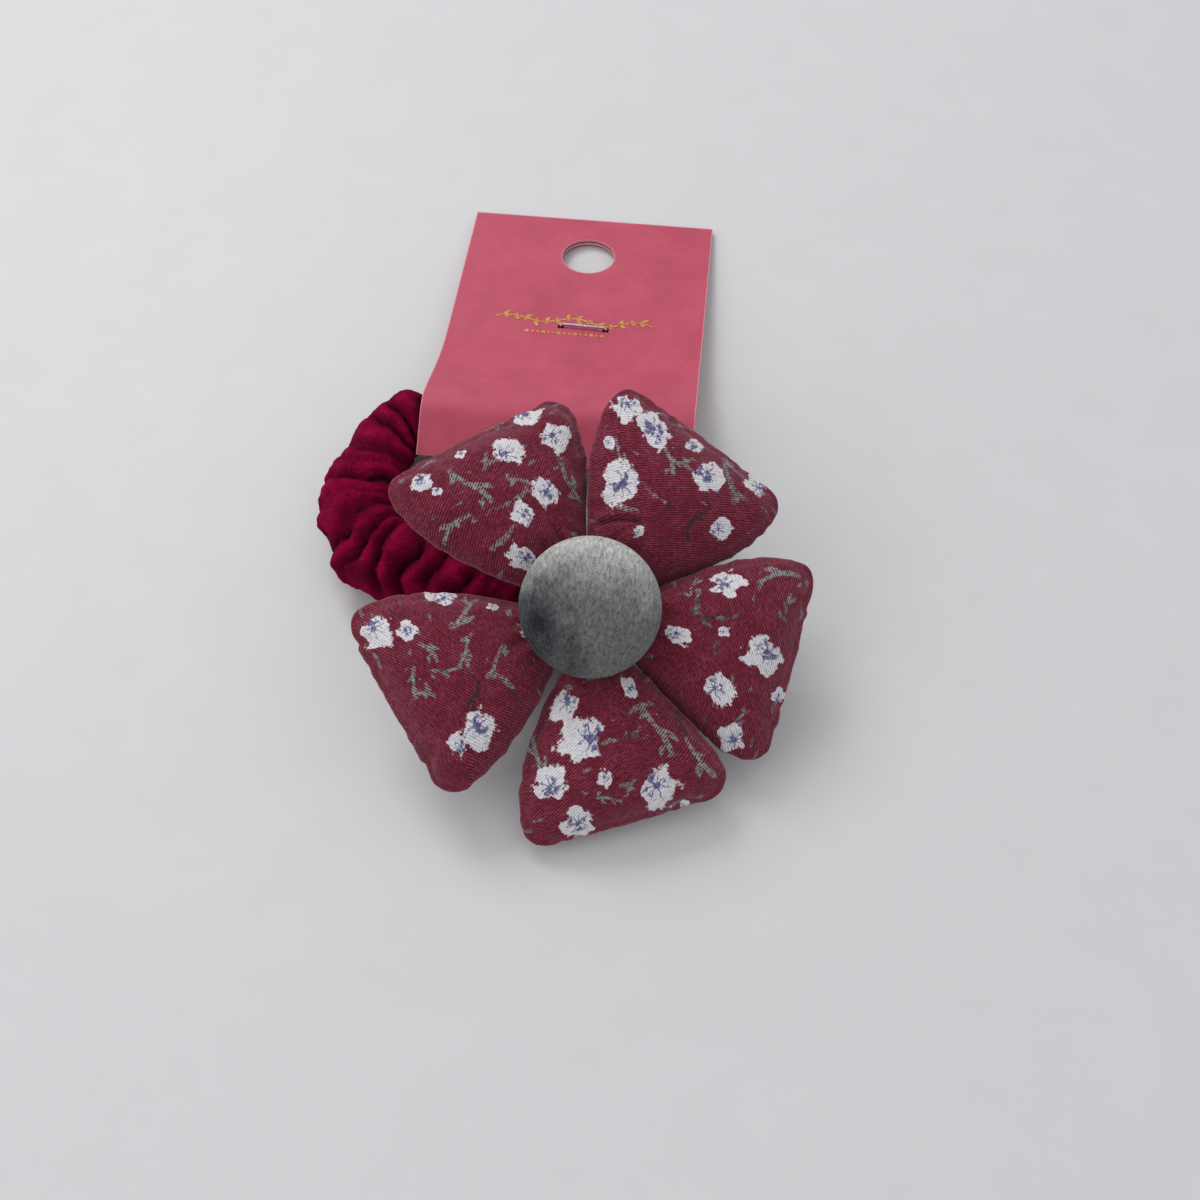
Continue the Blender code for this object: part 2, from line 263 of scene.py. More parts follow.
velvetPlan = {
    "farBend": 8.0, "farRadius": 5.2,  # in mm, bend of the middle line and radius of the tube
    "freeBend": 11.0, "freeRadius": 6.5, "freeDown": 19.0, "freeOut": 1.4,
    "nearBend": 12.5, "nearRadius": 5.3,
    "lowerBend": 8.2, "lowerRadius": 3.6, "lowerDown": 19.5, "lowerIn": 1.6,
    "rightBend": 4.0, "rightRadius": 1.6, "rightClear": 0.1,
    "inCardRadius": 3.6, "cardClear": 0.4, "sideClear": 0.8,
    "narrowing": 4.0,  # length inside the card's right edge over which it thins
    "coreRadius": 1.8, "sleeve": 0.6,  # the elastic, and the least velvet over it
    "restHeight": 0.25,  # of its underside over the table top
    "foldSpacing": 4.0, "foldDepth": 0.40, "wander": 2.8,
    "merged": 0.65, "fullness": 0.35, "swell": 0.75, "crumple": 0.22, "fineCrumple": 0.07,
    "bendSteps": 24, "lineSteps": 20,  # round each bend, and from one point of the bends to the next
    "smoothing": 7,  # stations to each side over which the radius is evened out
    "alongSteps": 640, "roundSteps": 84, "coreSteps": 160, "coreSides": 14,
    # crest is a painted highlight colour for the gathers' tops, deep a painted shade for their valleys,
    # body the velvet's own colour
    "crest": (164, 6, 70), "body": (98, 0, 38), "deep": (20, 0, 8),
}


def beltCircles(plan):
    low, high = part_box("header_card")
    farY = joints["card_swing"]["pos_m"][1] / mm
    holdX, holdY, _ = (value / mm for value in joints["flower_tilt"]["pos_m"])
    axis = joints["flower_tilt"]["axis"]
    facing = math.atan2(axis[1], axis[0]) - math.pi / 2
    left = low.x / mm - plan["sideClear"] - plan["farRadius"]
    right = high.x / mm + plan["rightClear"] + plan["rightRadius"]
    return [
        (left + plan["farBend"], farY - plan["farBend"], plan["farBend"], plan["farRadius"]),
        (left - plan["freeOut"] + plan["freeBend"], farY - plan["freeDown"], plan["freeBend"],
         plan["freeRadius"]),
        (holdX - plan["nearBend"] * math.cos(facing), holdY - plan["nearBend"] * math.sin(facing),
         plan["nearBend"], plan["nearRadius"]),
        (right - plan["lowerIn"] - plan["lowerBend"], farY - plan["lowerDown"], plan["lowerBend"],
         plan["lowerRadius"]),
        (right - plan["rightBend"], farY - plan["rightBend"], plan["rightBend"], plan["rightRadius"]),
    ]


def bandRoute(plan):
    # Evenly spaced (x, y, radius) along a belt round the five circles, anticlockwise
    circles = beltCircles(plan)
    leaving = []
    for (ax, ay, ar, _), (bx, by, br, _) in zip(circles, circles[1:] + circles[:1]):
        span = math.hypot(bx - ax, by - ay)
        leaving.append(math.atan2(by - ay, bx - ax) - math.pi / 2 + math.asin((ar - br) / span))
    corners = []
    for k, (x, y, bend, radius) in enumerate(circles):
        turn = (leaving[k] - leaving[k - 1]) % (2 * math.pi)
        for i in range(plan["bendSteps"] + 1):
            angle = leaving[k - 1] + turn * i / plan["bendSteps"]
            corners.append((x + bend * math.cos(angle), y + bend * math.sin(angle), radius))
    dense = []
    for (ax, ay, ar), (bx, by, br) in zip(corners, corners[1:] + corners[:1]):
        for i in range(plan["lineSteps"]):
            t = i / plan["lineSteps"]
            ease = t * t * (3 - 2 * t)
            dense.append((ax + (bx - ax) * t, ay + (by - ay) * t, ar + (br - ar) * ease))
    dense = np.array(dense + dense[:1])
    low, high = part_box("header_card")
    farY = joints["card_swing"]["pos_m"][1] / mm
    middle = (low.x + high.x) / 2 / mm
    reach = (high.x - low.x) / 2 / mm + plan["cardClear"]
    held = (dense[:, 1] > farY - plan["inCardRadius"]) & (np.abs(dense[:, 0] - middle) < reach)
    held &= dense[:, 0] < middle + reach - plan["narrowing"]
    dense[held, 2] = plan["inCardRadius"]
    steps = np.hypot(*np.diff(dense[:, :2], axis=0).T)
    travel = np.concatenate([[0], np.cumsum(steps)])
    evenly = np.linspace(0, travel[-1], plan["alongSteps"], endpoint=False)
    route = np.stack([np.interp(evenly, travel, dense[:, k]) for k in range(3)], axis=1)
    near = plan["smoothing"]
    kernel = np.hanning(2 * near + 1)
    kernel /= kernel.sum()
    radius = np.concatenate([route[-near:, 2], route[:, 2], route[:near, 2]])
    route[:, 2] = np.convolve(radius, kernel, mode="valid")
    return route, travel[-1]


def ringAlong(name, route, sides):
    # A torus for the route: gives the station, the angle and the way out for each of its points
    count = len(route)
    bpy.ops.mesh.primitive_torus_add(major_segments=count, minor_segments=sides, major_radius=1,
                                     minor_radius=0.25)
    ring = lastAdded(name)
    points = readPoints(ring)
    turn = np.arctan2(points[:, 1], points[:, 0]) % (2 * math.pi)
    index = np.round(turn / (2 * math.pi) * count).astype(int) % count
    around = np.arctan2(points[:, 2], np.hypot(points[:, 0], points[:, 1]) - 1)
    along = np.roll(route[:, :2], -1, axis=0) - np.roll(route[:, :2], 1, axis=0)
    along /= np.linalg.norm(along, axis=1)[:, None]
    outward = np.stack([along[:, 1], -along[:, 0]], axis=1)[index]
    return ring, index, around, outward


def tubePoints(here, outward, around, radius):
    height = joints["card_swing"]["pos_m"][2] / mm
    return np.stack([here[:, 0] + outward[:, 0] * radius * np.cos(around),
                     here[:, 1] + outward[:, 1] * radius * np.cos(around),
                     height + radius * np.sin(around)], axis=1)


def followBand(piece):
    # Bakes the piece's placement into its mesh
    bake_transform(piece)


def makeElastic(plan):
    print("band: laying the elastic core")
    route, _ = bandRoute(plan)
    route = route[::plan["alongSteps"] // plan["coreSteps"]]
    core, index, around, outward = ringAlong("elastic_core", route, plan["coreSides"])
    here = route[index]
    radius = np.minimum(plan["coreRadius"], here[:, 2] - plan["sleeve"])
    points = tubePoints(here, outward, around, radius)
    writePoints(core, points * mm)
    shadeSmooth(core)
    dress(core, rubberMaterial(rubberPlan))
    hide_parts("band_elastic_near", "band_elastic_far")
    followBand(core)


def makeBand(plan):
    print("band: shaping the velvet tube")
    route, length = bandRoute(plan)
    band, index, around, outward = ringAlong("velvet_band", route, plan["roundSteps"])
    here = route[index]
    plain = tubePoints(here, outward, around, here[:, 2])

    # Gathers: rounded crests and sharp valleys across the tube, which wander and merge
    drift = noiseAt(plain, 7.0, 3.1) * plan["wander"] + noiseAt(plain, 2.6, 8.4) * 0.5
    place = index / len(route) * length + drift
    fine = round(length / plan["foldSpacing"])
    coarse = round(length / plan["foldSpacing"] / 1.7)
    crestFine = np.abs(np.cos(np.pi * place * fine / length)) ** 0.75
    crestCoarse = np.abs(np.cos(np.pi * place * coarse / length + 0.8)) ** 0.75
    mixing = plan["merged"] * smoothStep(noiseAt(plain, 6.0, 14.2), -0.25, 0.35)
    crest = crestFine * (1 - mixing) + crestCoarse * mixing
    ease = 0.2 + 0.8 * smoothStep(here[:, 2], plan["inCardRadius"] + 0.1, plan["freeRadius"])
    outside = 0.75 + 0.25 * np.cos(around)
    depth = plan["foldDepth"] * here[:, 2] * ease * outside
    crumple = noiseAt(plain, 1.3, 21.0) * plan["crumple"] + noiseAt(plain, 0.55, 5.0) * plan["fineCrumple"]
    swell = plan["swell"] * ease * noiseAt(plain, 9.0, 30.0)
    radius = here[:, 2] + plan["fullness"] * ease - depth * (1 - crest) + crumple * ease + swell
    hold = np.array([value / mm for value in joints["flower_tilt"]["pos_m"]])
    tied = 1 - smoothStep(np.hypot(here[:, 0] - hold[0], here[:, 1] - hold[1]), 2.0, 6.5)
    radius = radius * (1 - tied) + np.minimum(radius, plan["nearRadius"]) * tied
    points = tubePoints(here, outward, around, radius)
    rest = plan["restHeight"]
    low = points[:, 2] < rest + 0.5  # flattened where it lies on the table
    points[low, 2] = rest + 0.5 * np.exp((points[low, 2] - rest - 0.5) / 0.5)
    writePoints(band, points * mm)
    # The crest share also drives the velvet's painted shade in the valleys and painted highlight on the
    # crests
    shade = band.data.attributes.new("crest", "FLOAT", "POINT")
    shade.data.foreach_set("value", np.clip(crest, 0, 1).astype(np.float32))
    shadeSmooth(band)
    dress(band, velvetMaterial(plan))
    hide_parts("band_velvet_near", "band_velvet_far")
    followBand(band)


def velvetMaterial(plan):
    mat, where = startMaterial("band_velvet", 0.9, Sheen_Weight=0.22, Sheen_Roughness=0.3,
                               Sheen_Tint=colour(255, 20, 90), Specular_IOR_Level=0.05)
    crest = where.node("Attribute", {"attribute_name": "crest"}, None, 2)
    patches = where.grain(260, 3, 0.6)
    pile = where.grain(5200, 2, 0.7)
    streaks = where.stretched((1, 1, 3)).grain(1500, 3, 0.65)
    # Painted highlight on the fold crests, broken up by random pile patches and streaks
    crestHighlight = (crest * 0.8 + (patches - 0.5) * 1.2 + (streaks - 0.5) * 0.9).ease(0.40, 1.15)
    # Painted shade in the fold valleys
    tint = (crest + (streaks - 0.5) * 0.3).ease(0.10, 0.65).between(plan["deep"], plan["body"])
    tint = crestHighlight.between(tint, plan["crest"])
    tint = tint.shaded((pile - 0.5) * 1.4 + 1.0)
    return finishMaterial(mat, tint, pile * 0.7 + streaks * 1.0, 0.0006)


# Padded petals

petalPlan = {
    "alongSteps": 50, "acrossSteps": 60,
    "start": 0.95,  # the pouch before it is stuffed, against the finished petal
    "cutWidth": 9.0, "cornerRadius": 4.2,
    "gathers": 4.5, "gatherHeight": 0.7, "gatherReach": 0.40,
    "slack": 0.30,  # mm of crumple that the filling pulls out
    "plump": 1.7, "swell": 1.4,  # mm that the filling pushes out at the front and at the sides
    "crowd": 0.8,  # mm that the gathered ends push up under the button
    "gap": 0.02,  # mm to either side of the line where neighbours lie together
    "lap": 0.08,  # slope across a petal, so that one of its edges laps over the next petal
    "lean": {1: 0.9, 2: 0.1, 3: 0.4, 4: -0.9, 5: -0.7},  # mm that one outer corner stands past the other
    "creases": {2: ((3.8, 6.2), (7.6, 0.6))},  # ends of a nipped fold, along and across
    "creaseDepth": 1.1, "creaseLip": 0.45, "creaseBow": 0.5,
    "lumps": 0.38, "pulls": 0.12, "ripples": 0.12, "seamRidge": 0.10, "seamGroove": 0.12,
    "backAt": 60.0,  # where the back panel lies on the cloth, in mm
    "backBlossoms": 9,
    "cloth": {"quality": 6, "mass": 0.02, "tension_stiffness": 30, "compression_stiffness": 12,
              "shear_stiffness": 6, "bending_stiffness": 0.4,
              "use_pressure": True, "uniform_pressure_force": 6.0},
    "frames": 14, "scaleUp": 40,
    "sideways": 0.25,  # share of the cloth's sideways creep that is kept
    "weave": 0.36,  # mm between the twill's ribs
    "ground": (114, 29, 49), "rib": (150, 70, 88), "deep": (58, 8, 22),
    "blossom": (220, 217, 218), "shadow": (142, 136, 152), "ink": (34, 40, 108),
    "leaf": (132, 144, 142), "stem": (30, 44, 42),
}

# Where the print falls on each petal, in mm from its gathered end and across it:
# blossoms as (along, across, radius), sprigs as (along, across, length, turn in degrees, darkness)
printPlan = {
    1: {
        "blossoms": [(21.5, -8.5, 3.0), (16.5, -10.5, 2.7), (18, -3, 3.0), (21, 10, 1.8), (10, -4, 2.6),
                     (9, 0.5, 2.3), (4, 4, 2.7), (21.5, 3, 1.0), (18.5, 9, 0.9)],
        "sprigs": [(16.5, 4.5, 8, 190, 0.2), (13, -2, 5, 60, 0.0), (9.5, -8.5, 7, 15, 0.3),
                   (12.5, 9.5, 6, 100, 0.1), (23, -4, 4, 100, 0.5)],
    },
    2: {
        "blossoms": [(20.5, 12.5, 2.7), (20.5, 8, 2.8), (19, 6, 2.3), (14.5, 11.5, 1.1), (10, 7, 3.7),
                     (22, 1, 1.6), (19, -3.5, 3.0), (23, -9.5, 2.7), (6, 0.5, 1.2), (13.5, -9, 2.0)],
        "sprigs": [(17.5, 3, 6, 220, 0.2), (21, -6.5, 8, 245, 0.4), (11, -5.5, 5, 30, 0.9),
                   (23, 4.5, 5, 120, 0.5), (14, 9.5, 4, 60, 0.3)],
    },
    3: {
        "blossoms": [(11, 8.5, 2.7), (12, 1.5, 1.1), (18.5, -0.5, 3.4), (13.5, -6.5, 2.8),
                     (6, -0.5, 2.3), (17, -12.5, 2.4), (22.5, -5, 1.6)],
        "sprigs": [(20.5, 7.5, 5, 75, 0.4), (10, 3.5, 7, 10, 0.6), (17.5, -10, 4, 60, 0.4),
                   (18.5, 11.5, 7, 200, 0.2), (6.5, 7, 4, 90, 0.1)],
    },
    4: {
        "blossoms": [(5.5, -6, 2.9), (10.5, -4.5, 4.1), (15.5, -10, 2.8), (16.5, -2.5, 1.5),
                     (19.5, 5, 3.8), (22, -7, 3.0), (4.5, 3.5, 2.1), (23.5, 8.5, 1.4)],
        "sprigs": [(11, 6, 8, 5, 0.2), (10.5, 3, 4, 120, 0.6), (10.5, 10, 5, 160, 0.95),
                   (16.5, 12, 7, 20, 0.1), (19.5, -2.5, 4, 80, 0.2), (11.5, -11, 6, 180, 0.3)],
    },
    5: {
        "blossoms": [(10, -11.5, 2.5), (4.5, -6.5, 1.0), (21, -10.5, 2.8), (17, -8.5, 1.7),
                     (14, 8.5, 3.0), (17.5, 9, 1.9), (1.5, -1, 1.6)],
        "sprigs": [(10.5, -2.5, 5, 40, 0.1), (7.5, 1, 6, 60, 0.3), (15.5, -4, 5, 100, 0.2),
                   (14.5, -1, 5, 150, 0.4), (12.5, 4.5, 6, 70, 1.0), (8.5, -7.5, 7, 210, 0.1),
                   (19, -1.5, 5, 80, 0.2)],
    },
}


def petalFrame(number):
    # Local x runs outwards from the petal's hinge, y across, z up from the flower's middle plane
    first = Vector(joints["petal_1_flex"]["axis"])
    second = Vector(joints["petal_2_flex"]["axis"])
    normal = first.cross(second).normalized()
    if normal.z < 0:
        normal.negate()
    joint = joints[f"petal_{number}_flex"]
    across = -Vector(joint["axis"]).normalized()
    outward = across.cross(normal)
    turn = Matrix((outward, across, normal)).transposed().to_4x4()
    return Matrix.Translation(joint["pos_m"]) @ turn


def localExtent(node, place):
    points = np.array([place.inverted() @ v.co for v in frame["nodes"][node].data.vertices])
    return points.min(axis=0) / mm, points.max(axis=0) / mm


def neighbourAngles(number, place):
    # The angles from a petal's axis to the next petals on either side
    turns = []
    for other in printPlan:
        if other != number:
            outward = place.to_3x3().inverted() @ petalFrame(other).to_3x3().col[0]
            turns.append(math.atan2(outward.y, outward.x))
    return min(turn for turn in turns if turn > 0), min(-turn for turn in turns if turn < 0)


def petalRoom(number, place, plan):
    # The half widths to either side and the half heights to front and back, at stations from the hinge line
    cover = frame["nodes"][f"petal_{number}_cover"]
    points = np.array([place.inverted() @ v.co for v in cover.data.vertices]) / mm
    length = points[:, 0].max()
    stations = length * (1 - np.cos(np.pi * np.arange(11) / 10)) / 2
    widths, heights = [], []
    for station in stations:
        ring = points[np.abs(points[:, 0] - station) < 0.02]
        widths.append(np.abs(ring[:, 1]).max())
        heights.append(np.abs(ring[:, 2]).max())
    widths[-2:] = [widths[-3]] * 2
    low, high = localExtent("button_velvet", place)
    fromMiddle = stations - (low[0] + high[0]) / 2
    room = {"length": length, "stations": stations, "back": np.array(heights)}
    room["front"] = room["back"] + plan["plump"] * smoothStep(stations, 0.45 * length, 0.85 * length)
    room["front"] += plan["crowd"] * (1 - smoothStep(stations, 0.12 * length, 0.4 * length))
    for side, turn in zip(("left", "right"), neighbourAngles(number, place)):
        touching = fromMiddle * math.tan(turn / 2) - plan["gap"]
        room[side] = np.minimum(np.array(widths) + plan["swell"], touching)
    return room


def flatPanel(number, plan, side, room):
    # One panel of the pouch, loosely filled, with its gathered end folded. side is 1 for the front.
    rows, columns = plan["alongSteps"], plan["acrossSteps"]
    bpy.ops.mesh.primitive_grid_add(x_subdivisions=rows, y_subdivisions=columns, size=2)
    panel = lastAdded("panel")
    spot = readPoints(panel)
    t = (spot[:, 0] + 1) / 2
    s = spot[:, 1]
    length = room["length"]
    corner = plan["cornerRadius"]
    x = length * t
    left = np.interp(x, room["stations"], room["left"])
    right = np.interp(x, room["stations"], room["right"])
    width = np.where(s > 0, left, right)
    widest = max(room["left"].max(), room["right"].max())
    cut = plan["cutWidth"] + (widest - plan["cutWidth"]) * np.sin(np.pi / 2 * np.minimum(1, t / 0.8))
    y = width * s
    acrossCorner = np.clip((np.abs(y) - (width - corner)) / corner, 0, 1)
    alongCorner = np.clip((x - (length - corner)) / corner, 0, 1)
    y = y - np.sign(s) * corner * acrossCorner * (1 - np.sqrt(1 - alongCorner ** 2 / 2))
    x = x - corner * alongCorner * (1 - np.sqrt(1 - acrossCorner ** 2 / 2))
    lens = np.clip(1 - np.abs(s) ** 2.6, 0, 1) ** 0.6
    halfHeight = np.interp(length * t, room["stations"], room["front" if side > 0 else "back"])
    thick = halfHeight * np.clip(1 - t ** 7, 0, 1) ** 0.6
    fade = 1 - smoothStep(t, 0.0, plan["gatherReach"])
    phase = number * 1.9 + (0 if side > 0 else 2.2)
    folds = np.cos(np.pi * plan["gathers"] * s + phase + 0.8 * np.sin(2.3 * s + number))
    z = thick * lens * 0.92 + plan["gatherHeight"] * fade * folds * lens
    points = np.stack([x, y, z * side], axis=1)
    crumple = noiseAt(points, 2.1, number * 7.7) * plan["slack"] * lens * np.clip(1 - t ** 6, 0, 1)
    points[:, 2] += crumple * (t > 0.001)
    points[:, 1:] *= plan["start"]
    writePoints(panel, points * mm)

    flat = np.stack([length * t + (0 if side > 0 else plan["backAt"]), cut * s], axis=1) * mm
    loops = np.zeros(len(panel.data.loops), dtype=int)
    panel.data.loops.foreach_get("vertex_index", loops)
    layer = panel.data.uv_layers.active
    layer.name = "cloth"
    layer.data.foreach_set("uv", flat[loops].astype(np.float32).ravel())
    seam = panel.data.attributes.new("seam", "FLOAT", "POINT")
    seam.data.foreach_set("value", np.minimum((1 - np.abs(s)) * width, (1 - t) * length).astype(np.float32))
    group = panel.vertex_groups.new(name="gathered")
    group.add([int(i) for i in np.nonzero(t < 0.001)[0]], 1.0, "REPLACE")
    if side < 0:
        editMesh(panel, (bpy.ops.mesh.flip_normals, {}))
    return panel


def sewPouch(number, plan, room):
    front = flatPanel(number, plan, 1, room)
    back = flatPanel(number, plan, -1, room)
    selectOnly(front)
    back.select_set(True)
    bpy.ops.object.join()
    pouch = lastAdded(f"petal_{number}")
    editMesh(pouch, (bpy.ops.mesh.remove_doubles, {"threshold": 0.02 * mm}),
             (bpy.ops.mesh.fill_holes, {"sides": 0}),
             (bpy.ops.mesh.normals_make_consistent, {"inside": False}))
    return pouch


def stuff(pouch, plan):
    # The wadding's push, as air pressure in a cloth simulation at a size that the solver likes
    scene = bpy.context.scene
    before = readPoints(pouch)
    writePoints(pouch, before * plan["scaleUp"])
    selectOnly(pouch)
    cloth = pouch.modifiers.new("stuffing", "CLOTH")
    for name, value in plan["cloth"].items():
        setattr(cloth.settings, name, value)
    cloth.settings.vertex_group_mass = "gathered"
    cloth.settings.effector_weights.gravity = 0
    cloth.collision_settings.use_collision = False
    cloth.point_cache.frame_end = plan["frames"]
    for step in range(1, plan["frames"] + 1):
        scene.frame_set(step)
    bpy.ops.object.modifier_apply(modifier=cloth.name)
    scene.frame_set(1)
    points = readPoints(pouch) / plan["scaleUp"]
    points[:, :2] = before[:, :2] + plan["sideways"] * (points[:, :2] - before[:, :2])
    writePoints(pouch, points)


def petalOutline(room, plan, lean):
    # The finished petal's edge seen from the front, as close points round it from the gathered end
    corner = plan["cornerRadius"]
    halves = []
    for side, sign in (("left", 1), ("right", -1)):
        tip = room["length"] - abs(lean) + sign * lean
        keep = room["stations"] < tip - corner
        width = room[side][-1]
        arc = np.radians(np.arange(0, 91, 5))
        x = np.concatenate([room["stations"][keep], tip - corner + corner * np.sin(arc)])
        y = np.concatenate([room[side][keep], width - corner + corner * np.cos(arc)])
        halves.append(np.stack([x, y * sign], axis=1))
    corners = np.concatenate([halves[0], halves[1][::-1], halves[0][:1]])
    dense = [corners[i] + (corners[i + 1] - corners[i]) * t
             for i in range(len(corners) - 1) for t in np.linspace(0, 1, 12, endpoint=False)]
    return np.array(dense)


def fitPouch(pouch, room, number, plan):
    # Brings the stuffed pouch to the outline and thickness that the flower has room for
    points = readPoints(pouch) / mm
    length = room["length"]
    middle = np.array([0.5 * length, 0])
    outline = petalOutline(room, plan, plan["lean"][number]) - middle
    edgeAngle = np.arctan2(outline[:, 1], outline[:, 0])
    order = np.argsort(edgeAngle)
    sectors = np.linspace(-np.pi, np.pi, 121)
    wanted = np.interp(sectors, edgeAngle[order], np.hypot(*outline[order].T), period=2 * np.pi)
    for _ in range(2):
        offset = points[:, :2] - middle
        angle = np.arctan2(offset[:, 1], offset[:, 0])
        radius = np.hypot(*offset.T)
        apart = np.abs((angle[None, :] - sectors[:, None] + np.pi) % (2 * np.pi) - np.pi)
        reach = np.where(apart < 0.035, radius[None, :], 0).max(axis=1)
        stretch = np.interp(angle, sectors, wanted / reach)
        share = radius / np.interp(angle, sectors, reach)
        offset *= (1 + (stretch - 1) * smoothStep(share, 0.1, 1.0))[:, None]
        points[:, :2] = middle + offset
    bins = np.linspace(0.03, 0.90, 16) * length
    for sign, side in ((1, "front"), (-1, "back")):
        outer = points[:, 2] * sign
        reach = [outer[np.abs(points[:, 0] - b) < 0.9].max() for b in bins]
        ratio = np.interp(bins, room["stations"], room[side]) / np.array(reach)
        ratio = np.convolve(np.pad(ratio, 1, mode="edge"), (0.25, 0.5, 0.25), mode="valid")
        points[:, 2] *= np.where(outer > 0, np.interp(points[:, 0], bins, ratio), 1)
    points[:, 2] += plan["lap"] * points[:, 1] * smoothStep(points[:, 0], 0.5, 4)
    writePoints(pouch, points * mm)


def creaseDepth(points, plan, number):
    # A fold nipped into the cloth along a short line, with a lip above it
    if number not in plan["creases"]:
        return 0
    start, end = (np.array(spot) for spot in plan["creases"][number])
    run = end - start
    across = np.array([-run[1], run[0]]) / np.linalg.norm(run)
    offset = points[:, :2] / mm - start
    share = offset @ run / (run @ run)
    bow = plan["creaseBow"] * np.sin(np.pi * np.clip(share, 0, 1))
    away = offset @ across - bow
    fade = smoothStep(share, -0.05, 0.2) * (1 - smoothStep(share, 0.8, 1.05)) * (points[:, 2] > 0)
    lip = plan["creaseLip"] * np.exp(-((away - 0.45) / 0.35) ** 2)
    groove = plan["creaseDepth"] * np.exp(-((away + 0.15) / 0.4) ** 2)
    return (lip - groove) * fade


def pucker(pouch, number, plan):
    # Little pulls along the seam, a raised edge where the panels meet, and soft lumps of filling
    points = readPoints(pouch)
    normals = np.zeros(len(points) * 3)
    pouch.data.vertices.foreach_get("normal", normals)
    normals = normals.reshape(-1, 3)
    seam = np.zeros(len(points))
    pouch.data.attributes["seam"].data.foreach_get("value", seam)
    lumps = noiseAt(points, 6.0 * mm, number * 4.1) * plan["lumps"]
    pulls = noiseAt(points * np.array([1, 1, 0.25]), 2.2 * mm, number * 2.3) * plan["pulls"]
    ripples = noiseAt(points, 2.4 * mm, number * 5.7) * plan["ripples"]
    edge = plan["seamRidge"] * np.exp(-(seam / 0.45) ** 2)
    edge -= plan["seamGroove"] * np.exp(-((seam - 1.1) / 0.5) ** 2)
    ends = smoothStep(points[:, 0], 0, 3 * mm)
    offset = (lumps * smoothStep(seam, 0, 4) + pulls * np.exp(-seam / 1.8) + ripples + edge) * ends
    offset = offset + creaseDepth(points, plan, number)
    writePoints(pouch, points + normals * offset[:, None] * mm)


def nearestOf(flat, centres, turns, sizes):
    # For each face, its corners' places relative to the closest centre, turned and scaled to it
    gaps = flat.mean(axis=1)[:, None, :] - centres[None, :, :]
    chosen = np.argmin(np.linalg.norm(gaps, axis=2) / sizes[None, :], axis=1)
    offset = flat - centres[chosen][:, None, :]
    cosine, sine = np.cos(turns[chosen])[:, None], np.sin(turns[chosen])[:, None]
    u = (offset[:, :, 0] * cosine + offset[:, :, 1] * sine) / sizes[chosen][:, None]
    v = (offset[:, :, 1] * cosine - offset[:, :, 0] * sine) / sizes[chosen][:, None]
    return u, v, chosen


def cornerVectors(mesh, name, u, v, w):
    values = np.stack([u, v, np.broadcast_to(w[:, None], u.shape)], axis=2)
    attribute = mesh.attributes.new(name, "FLOAT_VECTOR", "CORNER")
    attribute.data.foreach_set("vector", values.astype(np.float32).ravel())


def layPrint(pouch, number, plan):
    # Stores on each face where it lies in the nearest blossom and the nearest sprig
    mesh = pouch.data
    points = readPoints(pouch) / mm
    layer = mesh.uv_layers["cloth"]
    flat = np.zeros(len(mesh.loops) * 2)
    layer.data.foreach_get("uv", flat)
    flat = flat.reshape(-1, 2) / mm
    vertexOf = np.zeros(len(mesh.loops), dtype=int)
    mesh.loops.foreach_get("vertex_index", vertexOf)
    front = flat[:, 0] < 0.75 * plan["backAt"]
    spots = points[vertexOf]

    def clothPlace(along, across):
        gap = np.hypot(spots[:, 0] - along, spots[:, 1] - across) + 100 * ~front
        return flat[np.argmin(gap)]

    chance = np.random.default_rng(40 + number)
    blossoms = [(*clothPlace(a, b), size) for a, b, size in printPlan[number]["blossoms"]]
    sprigs = [(*clothPlace(a, b), *rest) for a, b, *rest in printPlan[number]["sprigs"]]
    for i in range(plan["backBlossoms"]):
        across = chance.uniform(-13, 13)
        blossoms.append((plan["backAt"] + 2.5 + i * 2.8, across, chance.uniform(1.4, 3.4)))
        sprigs.append((plan["backAt"] + 3.0 + i * 2.6, -across + 3, chance.uniform(4, 7),
                       chance.uniform(0, 360), 0.3))

    corners = flat.reshape(-1, 4, 2)  # the subdivision has left only faces of four corners
    centres = np.array([b[:2] for b in blossoms])
    turns = chance.uniform(0, 2 * np.pi, len(blossoms))
    u, v, chosen = nearestOf(corners, centres, turns, np.array([b[2] for b in blossoms]))
    cornerVectors(mesh, "blossom", u, v, chosen * 3.17 + number * 11.0)
    centres = np.array([b[:2] for b in sprigs])
    turns = np.radians([b[3] for b in sprigs])
    lengths = np.array([b[2] for b in sprigs]) / 2
    u, v, chosen = nearestOf(corners, centres, turns, lengths)
    dark = np.array([b[4] for b in sprigs])[chosen]
    cornerVectors(mesh, "sprig", u, v, dark + chosen * 10.0)


